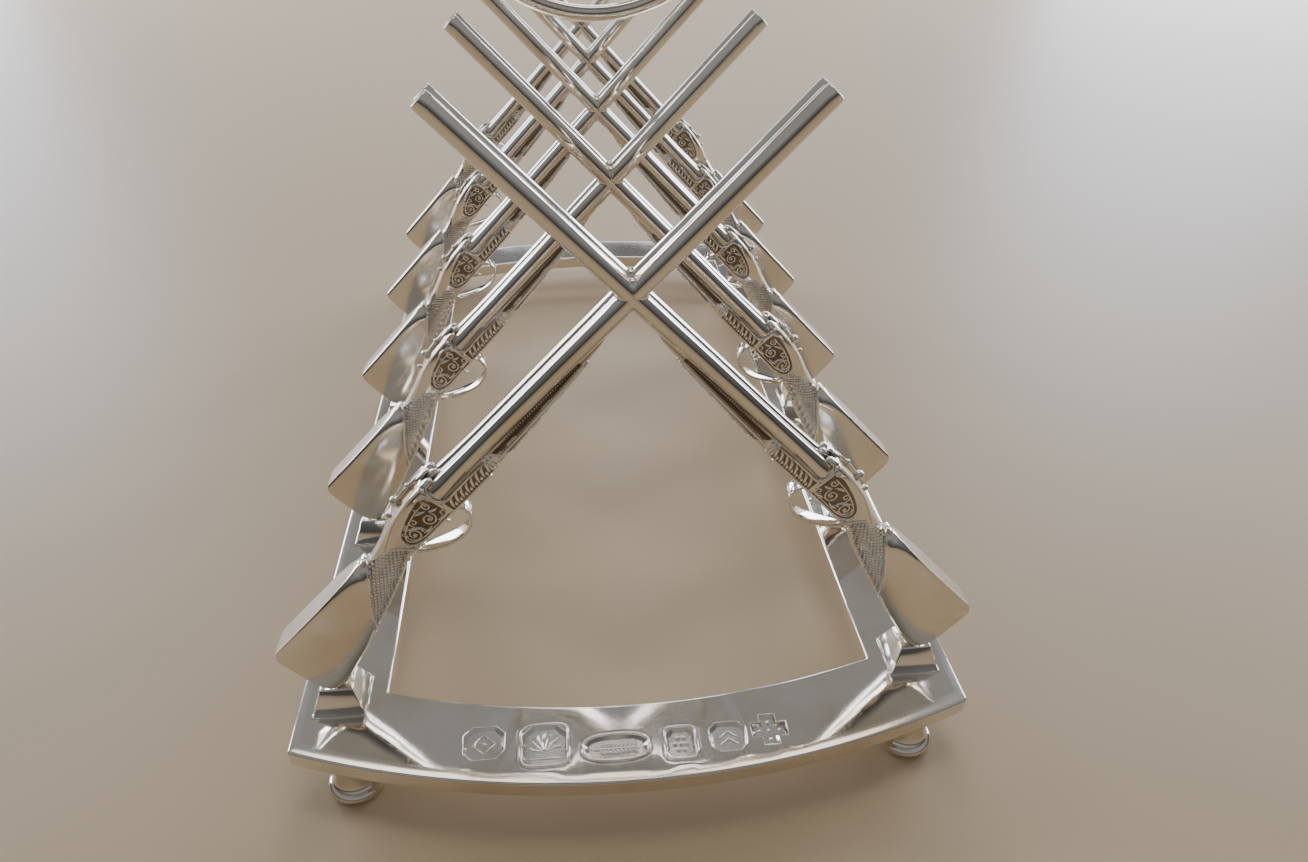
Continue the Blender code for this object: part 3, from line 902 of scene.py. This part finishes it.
carving = {
    "panel": [(-47.3, -6.35), (-45.0, -4.3), (-42.0, -1.95), (-40.3, -0.65), (-38.9, -0.35), (-37.6, -0.5),
              (-36.2, -1.0), (-35.2, -1.7), (-34.9, -2.75), (-36.0, -2.95), (-38.5, -3.6), (-40.5, -4.4),
              (-43.0, -5.15), (-45.5, -5.85)],
    "middle": (-41.0, -3.0), "diamond": (0.31, 0.25), "reach": 40, "pointHeight": 0.13, "pointWidth": 0.3,
    "panelRear": [(-47.4, -6.45), (-46.2, -5.45), (-45.0, -4.3), (-43.4, -3.0), (-42.0, -1.95), (-41.0, -1.1),
                  (-40.5, -0.35), (-40.7, -0.1)],
    "panelFront": [(-36.6, -0.75), (-35.9, -1.2), (-35.3, -1.95), (-34.95, -2.75)],
    "lock": [(-28.6, 0.9), (-29.6, 1.25), (-31.2, 0.95), (-32.8, 0.45), (-34.2, -0.25), (-34.75, -1.15),
             (-34.3, -2.0), (-32.9, -2.38), (-31.0, -2.36), (-28.0, -2.3), (-25.0, -2.28), (-22.4, -2.24)],
    "lockInner": [(-29.4, 0.62), (-31.1, 0.45), (-32.6, 0.02), (-33.7, -0.5), (-34.15, -1.15), (-33.8, -1.75),
                  (-32.7, -2.02), (-31.0, -2.02), (-28.6, -1.98)],
    "scrolls": [    # along, up, radius, turns, start angle, hand
        (-33.0, -1.1, 0.78, 1.7, 2.4, 1), (-30.4, -0.95, 0.72, 1.7, 0.6, -1),
        (-31.8, -0.1, 0.42, 1.3, 4.0, -1), (-29.3, 0.2, 0.4, 1.3, 1.0, 1), (-28.9, -1.45, 0.36, 1.2, 3.4, 1)],
    "leaves": [
        [(-33.2, -0.2), (-32.5, -0.5), (-31.9, -0.95), (-31.7, -1.6)],
        [(-32.2, -1.7), (-31.5, -1.75), (-30.9, -1.7)], [(-31.0, 0.3), (-30.4, 0.2), (-29.9, -0.1)],
        [(-29.7, -0.3), (-29.2, -0.6), (-28.8, -0.7)], [(-30.0, -1.75), (-29.3, -1.8), (-28.6, -1.85)],
        [(-33.9, -0.9), (-33.75, -0.65), (-33.45, -0.45)]],
    "leafCuts": (-27.7, -22.2, 0.78), "herringbone": (-19.9, -8.4, 0.33),    # first, last, pitch
    "bands": [
        [(-21.65, -0.72), (-21.65, -1.2), (-21.65, -1.8), (-21.65, -2.12)],
        [(-21.2, -0.72), (-21.2, -1.2), (-21.2, -1.8), (-21.2, -2.12)],
        [(-20.9, -0.85), (-20.3, -1.4), (-19.7, -1.85), (-19.3, -2.1)]],
    "smallBeads": [    # by the guard, then in the scrolls
        [(-34.4, -2.6), (-35.4, -2.75)], [(-33.0, -1.12), (-32.9, -1.1)], [(-30.4, -0.95), (-30.3, -0.95)],
        [(-31.95, -1.35), (-31.9, -1.35)]],
    "breech": [(-24.0, -0.78), (-26.0, -0.82), (-27.0, -0.9), (-27.8, -0.75), (-28.25, -0.2), (-28.35, 0.5),
               (-28.2, 1.15), (-27.7, 1.5)],
}


def insidePanel(point, outline):
    hit = False
    for (ax, ay), (bx, by) in zip(outline, outline[1:] + outline[:1]):
        if (ay > point[1]) != (by > point[1]) and point[0] < (bx - ax) * (point[1] - ay) / (by - ay) + ax:
            hit = not hit
    return hit


def panelMesh(side):
    # Diamond lattice laid on the grip, one face for each diamond.
    bm = bmesh.new()
    middle, diamond, reach = carving["middle"], carving["diamond"], carving["reach"]
    verts = {}
    for i in range(-reach, reach):
        for j in range(-reach, reach):
            ring = [(i, j), (i + 1, j), (i + 1, j + 1), (i, j + 1)]
            spots = [(middle[0] + (a + b) * diamond[0], middle[1] + (a - b) * diamond[1]) for a, b in ring]
            centre = [sum(values) / 4 for values in zip(*spots)]
            if not insidePanel(centre, carving["panel"]):
                continue
            for key, (along, up) in zip(ring, spots):
                if key not in verts:
                    across = side * (sideFace(along, up) + 0.015)
                    verts[key] = bm.verts.new((along * mm, across * mm, up * mm))
            outwards = (3, 0, 1, 2) if side > 0 else (0, 3, 2, 1)
            bm.faces.new([verts[ring[k]] for k in outwards])
    return meshFrom("panel", bm)


def repeats(first, last, pitch):
    # Places from first up to last, one pitch apart.
    spot = first
    while spot < last:
        yield spot
        spot += pitch


def foreEndLines(along):
    # Heights of the bottom edge and of the middle of the fore-end's side.
    bottom = reading(stockShape["bar"], along, 2)
    return bottom, (-0.8 + bottom) / 2 - 0.05


def carvedMesh():
    heavy, fine, strokes, beads, smallBeads = [], [], [], [], []
    for side in (-1, 1):
        heavy.extend(onSide(smoothPath(carving[key]), side, 0.02) for key in ("panelRear", "panelFront"))
        heavy.append(onSide(smoothPath(carving["lock"]), side))
        fine.append(onSide(smoothPath(carving["lockInner"]), side))
        fine.extend(onSide(volute(*scroll), side, 0.02) for scroll in carving["scrolls"])
        strokes.extend(onSide(smoothPath(leaf, 4), side, 0.03) for leaf in carving["leaves"])
        for spot in repeats(*carving["leafCuts"]):
            for cut in ([(0.0, -2.1), (0.15, -1.7), (0.42, -1.25), (0.8, -1.0)],
                        [(0.42, -2.1), (0.5, -1.85), (0.7, -1.6)]):
                strokes.append(onSide([(spot + along, up) for along, up in cut], side, 0.03))
        heavy.extend(onSide(band, side, -0.03) for band in carving["bands"])
        for spot in repeats(*carving["herringbone"]):
            bottom, middle = foreEndLines(spot)
            fine.append(onSide([(spot, middle + 0.08), (spot + 0.34, -0.86)], side, 0.02))
            if spot > -19.3:
                fine.append(onSide([(spot, middle - 0.08), (spot + 0.3, bottom + 0.22)], side, 0.02))
        middleLine = [(along, foreEndLines(along)[1]) for along in stations(-20.4, -8.0, 0.8)]
        heavy.append(onSide(middleLine, side))
        lowerEdge = [(along, foreEndLines(along)[0] + 0.14) for along in stations(-19.0, -7.6, 0.5)]
        beads.append(onSide(lowerEdge, side))
        smallBeads.extend(onSide(path, side, 0.05) for path in carving["smallBeads"])
        # raised line round the breech end of the barrel
        heavy.append([(along, side * (2.42 - max(0.0, up) ** 2 * 0.25), up)
                      for along, up in smoothPath(carving["breech"])])
    parts = [
        wires("heavy_lines", heavy, 0.16, chasedWork, sides=10),
        wires("fine_lines", fine, 0.1, chasedWork, taper=0.3),
        wires("leaf_strokes", strokes, 0.15, chasedWork, taper=1.0),
        beadRows("edge_beads", beads, 0.22, 0.42, 0.2, 4, chasedWork),
        beadRows("small_beads", smallBeads, 0.17, 0.34, 0.1, 5, chasedWork)]
    for side in (-1, 1):
        parts.append(grow(panelTree, panelMesh(side), "chequering", {
            "Point Height": carving["pointHeight"] * mm, "Point Width": carving["pointWidth"],
            "Material": chasedWork}))
    return joinMeshes("carving", parts)


def blob(bm, centre, radii, steps):
    made = bmesh.ops.create_uvsphere(bm, u_segments=steps, v_segments=steps // 2 + 2, radius=1.0)
    place = Matrix.Translation(Vector(centre) * mm) @ Matrix.Diagonal((*(r * mm for r in radii), 1))
    bmesh.ops.transform(bm, matrix=place, verts=made["verts"])


leverShape = {
    "halfWidth": 0.24,
    "path": [(-27.2, 0.0, 1.75), (-28.6, 0.0, 2.02), (-30.0, 0.0, 2.02), (-31.2, 0.0, 1.95),
             (-32.3, 0.0, 1.85)],
    "lumps": [
        # middle, half sizes, steps round: spindle, the comb's nose, fences, two beads, thumb piece
        ((-28.5, 0.0, 1.86), (1.15, 0.5, 0.3), 28), ((-27.5, 0.0, 1.25), (0.95, 0.5, 0.4), 20),
        ((-40.9, 0.0, -0.04), (0.6, 1.05, 0.3), 24),
        ((-28.2, -1.3, 1.42), (1.15, 0.66, 0.46), 28), ((-28.2, 1.3, 1.42), (1.15, 0.66, 0.46), 28),
        ((-30.05, 0.0, 2.14), (0.34, 0.34, 0.34), 20), ((-34.3, 0.0, 1.45), (0.32, 0.32, 0.32), 20),
        ((-32.4, 0.0, 1.98), (0.58, 0.58, 0.58), 20)],
    "edgeRun": (-37.5, -28.6), "edgeOut": 0.82, "edgeHalfWidth": 0.14,
}


def fencesMesh():
    # Fences, spindle, top lever with its beads and thumb piece, and the raised edges along the action.
    size = leverShape
    bm = bmesh.new()
    for centre, radii, steps in size["lumps"]:
        blob(bm, centre, radii, steps)
    edges = []
    for side in (-1, 1):
        edge = []
        for along in stations(*size["edgeRun"], 0.5):
            top, bottom, half, squareness = reading(stockShape["sections"], along)
            rise = (1 - size["edgeOut"] ** squareness) ** (1 / squareness)
            up = (top + bottom) / 2 + (top - bottom) / 2 * rise
            edge.append((along, side * half * size["edgeOut"], up))
        edges.append(edge)
    return joinMeshes("fences", [
        solidMesh("knobs", bm, 180),
        wires("top_lever", [smoothPath(size["path"])], size["halfWidth"], castStock, sides=12),
        wires("action_edges", edges, size["edgeHalfWidth"], castStock)])


groundAreas = {
    # along, upper edge, lower edge of each matted field
    "lock": [(-34.7, -1.1, -1.2), (-34.4, -0.55, -1.85), (-33.6, 0.05, -2.22), (-32.8, 0.38, -2.3),
             (-31.2, 0.9, -2.3), (-29.6, 1.2, -2.28), (-28.6, 0.9, -2.24)],
    "bar": [(-28.0, -0.98, -2.26), (-25.0, -1.0, -2.24), (-21.9, -1.0, -2.2)],
    "foreEnd": [(-20.5, -0.9, -1.3), (-19.2, -0.86, -2.2), (-15.0, -0.84, -1.98), (-10.0, -0.84, -1.64),
                (-8.0, -0.84, -1.46)],
    "rows": 14, "step": 0.16, "lift": 0.02,
}


def groundMesh():
    bm = bmesh.new()
    rows = groundAreas["rows"]
    for area in ("lock", "bar", "foreEnd"):
        table = groundAreas[area]
        for side in (-1, 1):
            columns = []
            for along in stations(table[0][0], table[-1][0], groundAreas["step"]):
                top, bottom = reading(table, along)
                column = []
                for k in range(rows + 1):
                    up = top + (bottom - top) * k / rows
                    across = side * (sideFace(along, up) + groundAreas["lift"])
                    column.append(bm.verts.new((along * mm, across * mm, up * mm)))
                columns.append(column)
            for one, two in zip(columns, columns[1:]):
                for k in range(rows):
                    quad = (one[k], one[k + 1], two[k + 1], two[k])
                    bm.faces.new(quad if side < 0 else quad[::-1])
    mesh = meshFrom("ground", bm)
    mesh.shade_smooth()
    return mesh


guardShape = {
    "guard": {
        "path": [(-36.2, -3.35), (-35.3, -4.0), (-34.1, -4.65), (-32.6, -5.3), (-31.0, -5.6), (-29.6, -5.3),
                 (-28.6, -4.5), (-28.35, -3.6), (-28.7, -2.7)],
        "halfWidth": 0.95, "thickness": 0.34, "edge": 0.12},
    "trigger": {
        "path": [(-31.2, -2.6), (-31.25, -3.0), (-31.15, -3.4), (-30.95, -3.7)],
        "halfWidth": 0.2, "thickness": 0.22, "edge": 0.09},
}


def stripMesh(name, path, halfWidth, thickness, edge):
    # A flat strip with soft edges bent along a path in the plane of the gun, narrower where it starts.
    points = smoothPath(path, 8)
    bm = bmesh.new()
    rings = []
    shape = []
    for corner, (acrossWay, outWay) in enumerate(((1, 1), (-1, 1), (-1, -1), (1, -1))):
        for k in range(4):
            a = math.pi / 2 * (corner + k / 3)
            shape.append((acrossWay * (halfWidth - edge) + edge * math.cos(a),
                          outWay * (thickness / 2 - edge) + edge * math.sin(a)))
    for i, (along, up) in enumerate(points):
        ahead = Vector(points[min(i + 1, len(points) - 1)]) - Vector(points[max(i - 1, 0)])
        normal = Vector((-ahead.y, ahead.x)).normalized()
        t = i / (len(points) - 1)
        narrow = 0.55 + 0.45 * math.sin(math.pi * t * 1.25) if t < 0.4 else 1.0
        rings.append([bm.verts.new(((along + normal.x * n) * mm, y * narrow * mm, (up + normal.y * n) * mm))
                      for y, n in shape])
    skinRings(bm, rings)
    return solidMesh(name, bm, 40)


def guardMesh():
    return joinMeshes("guard", [stripMesh(name, **guardShape[name]) for name in ("guard", "trigger")])


def placeMesh(mesh, name, matrix, material, node, slot):
    copy = mesh.copy()
    copy.transform(matrix)
    item = newObject(name, copy, material)
    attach(item, "root")
    if node:
        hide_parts(node)
    return item


gunParts = [
    # piece name, mesh, material, node it stands for, slot
    ("shaped_stock", stockMesh(), castStock, "gun_stock", "stock"),
    ("twin_barrels", joinMeshes("twin_barrels", [barrelsMesh(), ribMesh()]), drawnTube, "barrels", "barrel"),
    ("carved_work", carvedMesh(), chasedWork, None, "stock"),
    ("fences_and_lever", fencesMesh(), castStock, None, "stock"),
    ("matted_fields_painted_shade", groundMesh(), mattedGroundPaintedShade, None, "stock"),
    ("guard_strip", guardMesh(), polishedSheet, "trigger_guard", "guard"),
]
for pair, row in enumerate(pairRows):
    for side, turn in (("left", 0.0), ("right", math.pi)):
        pose = (Matrix.Translation((0.0, row, crossingHeight)) @ Matrix.Rotation(turn, 4, "Z")
                @ Matrix.Rotation(math.radians(-gunPlace["tilt"]), 4, "Y"))
        tag = "_{}_{}".format(side, pair + 1)
        for name, mesh, material, node, slot in gunParts:
            placeMesh(mesh, name + tag, pose, material, node + tag if node else None, slot)
print("guns ready")


# Solder run into the corners where barrels cross.

solderShape = {
    "above": 0.5, "below": 0.3, "beside": 0.34,    # radius of the hollow in each corner
    "unevenness": 0.06, "least": 0.03, "sunk": 0.012, "root": 0.2, "arcSteps": 8, "reach": 0.97,
    "slice": 0.14,
}


def filletBody(bm, half, facing, hollow, tubeY):
    # Hollow-faced body in the corner of two tubes, one slice after another across the tube.
    # half is the angle from either tube to the middle of the corner, facing points out along that middle.
    size = solderShape
    radius = barrelShape["radius"]
    sideways = Vector((-facing.z, 0.0, facing.x))
    rings = []
    for dy in stations(-size["reach"] * radius, size["reach"] * radius, size["slice"]):
        depth = math.sqrt(radius * radius - dy * dy)
        curve = hollow * depth / radius * (1 + chance.uniform(-1, 1) * size["unevenness"]) + size["least"]
        depth -= size["sunk"]
        centre = facing * ((depth + curve) / math.sin(half))
        ring = []
        for k in range(size["arcSteps"] + 1):
            a = (math.pi / 2 - half) * (2 * k / size["arcSteps"] - 1)
            ring.append(centre + (sideways * math.sin(a) - facing * math.cos(a)) * curve)
        ring.append(facing * depth * size["root"])
        rings.append([bm.verts.new((p.x * mm, (tubeY + dy) * mm, p.z * mm)) for p in ring])
    skinRings(bm, rings)


def crossingSolder():
    bm = bmesh.new()
    tilt = math.radians(gunPlace["tilt"])
    upright = math.pi / 2 - tilt
    for kind, half, facing in (("above", upright, (0, 0, 1)), ("below", upright, (0, 0, -1)),
                               ("beside", tilt, (1, 0, 0)), ("beside", tilt, (-1, 0, 0))):
        for way in (-1, 1):
            filletBody(bm, half, Vector(facing), solderShape[kind],
                       way * (barrelShape["radius"] + barrelShape["spread"]))
    return solidMesh("solder", bm, 60)


solder = crossingSolder()
for pair, row in enumerate(pairRows):
    placeMesh(solder, "crossing_solder_{}".format(pair + 1), Matrix.Translation((0.0, row, crossingHeight)),
              filedBlock, None, "barrel")
print("solder ready")


# Pedestals: filed blocks that carry the toes of the butts.

pedestalShape = {
    "base": 5.9, "top": 3.6, "height": 3.35, "edge": 0.16, "solderHalfWidth": 0.15, "solderSteps": 12,
}


def pedestalMesh():
    bm = bmesh.new()
    size = pedestalShape
    place = Matrix.Translation((0, 0, size["height"] / 2 * mm)) @ Matrix.Rotation(math.pi / 4, 4, "Z")
    bmesh.ops.create_cone(bm, cap_ends=True, segments=4, radius1=size["base"] * mm / math.sqrt(2),
                          radius2=size["top"] * mm / math.sqrt(2), depth=size["height"] * mm, matrix=place)
    bmesh.ops.bevel(bm, geom=list(bm.edges), offset=size["edge"] * mm, segments=3, affect="EDGES",
                    profile=0.5)
    return solidMesh("pedestal", bm, 25)


def pedestalSolder():
    # The thin uneven line of solder round the foot of a block.
    half = pedestalShape["base"] / 2 - 0.02
    corners = [(half, half), (-half, half), (-half, -half), (half, -half), (half, half)]
    steps = pedestalShape["solderSteps"]
    points = []
    for (ax, ay), (bx, by) in zip(corners, corners[1:]):
        for t in (k / steps for k in range(steps)):
            points.append((ax + (bx - ax) * t + chance.uniform(-0.03, 0.03),
                           ay + (by - ay) * t + chance.uniform(-0.03, 0.03),
                           0.02 + chance.uniform(-0.02, 0.04)))
    return wires("solder_line", [points], pedestalShape["solderHalfWidth"], filedBlock, loop=True)


block = joinMeshes("pedestal", [pedestalMesh(), pedestalSolder()])
for pair, row in enumerate(pairRows):
    for side in ("left", "right"):
        node = "pedestal_{}_{}".format(side, pair + 1)
        low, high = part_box(node)
        place = Matrix.Translation(((low.x + high.x) / 2, row, plateHigh.z))
        placeMesh(block, "filed_" + node, place, filedBlock, node, "pedestal")
print("pedestals ready")


# Carrying ring: a round wire ring soldered between the middle pair of barrels.

ringShape = {"around": 192, "across": 28, "solderLump": (0.5, 0.6, 0.4), "solderSkin": 0.09}
ringLow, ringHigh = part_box("ring_handle")
ringCentre = (ringLow + ringHigh) / 2
wireRadius = (ringHigh.y - ringLow.y) / 2
ringRadius = (ringHigh.x - ringLow.x) / 2 - wireRadius


def ringMesh():
    around, across = ringShape["around"], ringShape["across"]
    bm = bmesh.new()
    rings = []
    for a in (2 * math.pi * i / around for i in range(around)):
        ring = []
        for b in (2 * math.pi * j / across for j in range(across)):
            r = ringRadius + wireRadius * math.cos(b)
            spot = Vector((r * math.cos(a), wireRadius * math.sin(b), r * math.sin(a)))
            ring.append(bm.verts.new(ringCentre + spot))
        rings.append(ring)
    wrapRings(bm, "along", rings, lambda i, j: (i / around * 10, j / across), closed=True)
    return solidMesh("ring", bm, 180)


def ringSolder():
    # Lumps run together into one soft mass on either side, where the ring rests on the barrels.
    tilt = math.radians(gunPlace["tilt"])
    out = (ringRadius + wireRadius * 0.9) / mm
    centre = ringCentre / mm
    bm = bmesh.new()
    for side in (-1, 1):
        for y in (-0.45, 0.45):
            for slide in (-0.5, 0.0, 0.5):
                x = centre.x + side * (out * math.sin(tilt) + slide * math.cos(tilt))
                z = centre.z - out * math.cos(tilt) + slide * math.sin(tilt)
                blob(bm, (x, y, z), ringShape["solderLump"], 20)
    item = newObject("ring_solder", meshFrom("ring_solder", bm))
    skin = item.modifiers.new("one_skin", "REMESH")
    skin.mode = "VOXEL"
    skin.voxel_size = ringShape["solderSkin"] * mm
    skin.use_smooth_shade = True
    ease = item.modifiers.new("ease", "SMOOTH")
    ease.factor = 0.5
    ease.iterations = 5
    return plainMesh(item, "ring_solder")


ringBlob = newObject("ring_solder", ringSolder(), filedBlock)
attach(ringBlob, "root")
ring = newObject("carrying_ring", ringMesh(), ringWire)
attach(ring, "root")
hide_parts("ring_handle")
print("ring ready")


# Floor, light and camera.

studio = {
    "floor": "#CDB48F", "floorGrain": "#D6C09E", "floorRoughness": 0.5, "floorHalf": 5.0, "grainScale": 3.0,
    "sky": [    # below the horizon to overhead
        (0.0, "#3A342C"), (0.17, "#5A554D"), (0.42, "#A2A8B2"), (0.6, "#E4E3E2"), (0.85, "#E0E0E0"),
        (1.0, "#8E949C")],
    "worldStrength": 0.36,
    "lightsAimAt": (0.0, 0.0, 0.05),
    "lights": [    # name, place, width, height, watts, colour
        ("tall_box_back_left", (-0.56, 0.66, 0.22), 0.3, 0.4, 4.0, "#DCE8FF"),
        ("tall_box_side_left", (-0.8, 0.4, 0.24), 0.2, 0.36, 2.3, "#EEF3FF"),
        ("tall_box_back_right", (0.56, 0.66, 0.22), 0.3, 0.4, 4.0, "#DCE8FF"),
        ("tall_box_side_right", (0.8, 0.4, 0.24), 0.2, 0.36, 2.3, "#EEF3FF"),
        ("low_box_behind", (0.0, 1.15, 0.34), 1.1, 0.1, 2.0, "#E8F0FF"),
        ("soft_box_behind", (0.12, 0.85, 0.75), 0.36, 0.2, 1.8, "#DCE8FF"),
        ("soft_box_above", (0.0, 0.2, 0.88), 0.8, 0.26, 1.5, "#FFF2E0")],
    "camera": {"place": (-0.005935, -0.133234, 0.093392), "turn": (55.654, -0.552, -5.889),
               "lens": 25.185, "sensor": 36.0, "nearest": 0.005},
}


def makeFloor():
    bm = bmesh.new()
    bmesh.ops.create_grid(bm, x_segments=8, y_segments=8, size=studio["floorHalf"])
    mesh = meshFrom("floor", bm)
    material = bpy.data.materials.new("floor_pale_board")
    material.use_nodes = True
    tree = material.node_tree
    shader = tree.nodes["Principled BSDF"]
    spot = addNode(tree, "ShaderNodeTexCoord").outputs["Object"]
    noise = addNode(tree, "ShaderNodeTexNoise", {
        "Vector": spot, "Scale": studio["grainScale"], "Detail": 3.0})
    mix = addNode(tree, "ShaderNodeMix", {"Factor": noise.outputs["Fac"]}, data_type="RGBA")
    mix.inputs[6].default_value = linearColour(studio["floor"])
    mix.inputs[7].default_value = linearColour(studio["floorGrain"])
    tree.links.new(mix.outputs[2], shader.inputs["Base Color"])
    shader.inputs["Roughness"].default_value = studio["floorRoughness"]
    newObject("floor", mesh, material)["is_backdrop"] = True


def areaLight(name, place, width, height, power, hexText):
    light = bpy.data.lights.new(name, "AREA")
    light.shape = "RECTANGLE"
    light.size, light.size_y = width, height
    light.energy = power
    light.color = linearColour(hexText)[:3]
    item = bpy.data.objects.new(name, light)
    item.location = place
    item.rotation_euler = (Vector(studio["lightsAimAt"]) - Vector(place)).to_track_quat("-Z", "Y").to_euler()
    bpy.context.scene.collection.objects.link(item)


def makeWorld():
    world = bpy.data.worlds.new("studio")
    world.use_nodes = True
    bpy.context.scene.world = world
    tree = world.node_tree
    back = tree.nodes["Background"]
    ray = addNode(tree, "ShaderNodeTexCoord").outputs["Generated"]
    height = addNode(tree, "ShaderNodeSeparateXYZ", {"Vector": ray}).outputs["Z"]
    ramp = addNode(tree, "ShaderNodeValToRGB", {"Fac": addNode(tree, "ShaderNodeMapRange", {
        "Value": height, "From Min": -0.2, "From Max": 1.0}).outputs["Result"]})
    stops = ramp.color_ramp.elements
    for place, colour in studio["sky"][1:-1]:
        stops.new(place)
    for stop, (place, colour) in zip(stops, studio["sky"]):
        stop.position, stop.color = place, linearColour(colour)
    tree.links.new(ramp.outputs["Color"], back.inputs["Color"])
    back.inputs["Strength"].default_value = studio["worldStrength"]


makeFloor()
makeWorld()
for light in studio["lights"]:
    areaLight(*light)

view = studio["camera"]
camera = bpy.data.objects.new("camera", bpy.data.cameras.new("camera"))
camera.data.sensor_width = view["sensor"]
camera.data.lens = view["lens"]
camera.data.clip_start = view["nearest"]
camera.location = view["place"]
camera.rotation_euler = [math.radians(a) for a in view["turn"]]
bpy.context.scene.collection.objects.link(camera)
bpy.context.scene.camera = camera
print("studio ready")

low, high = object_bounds()
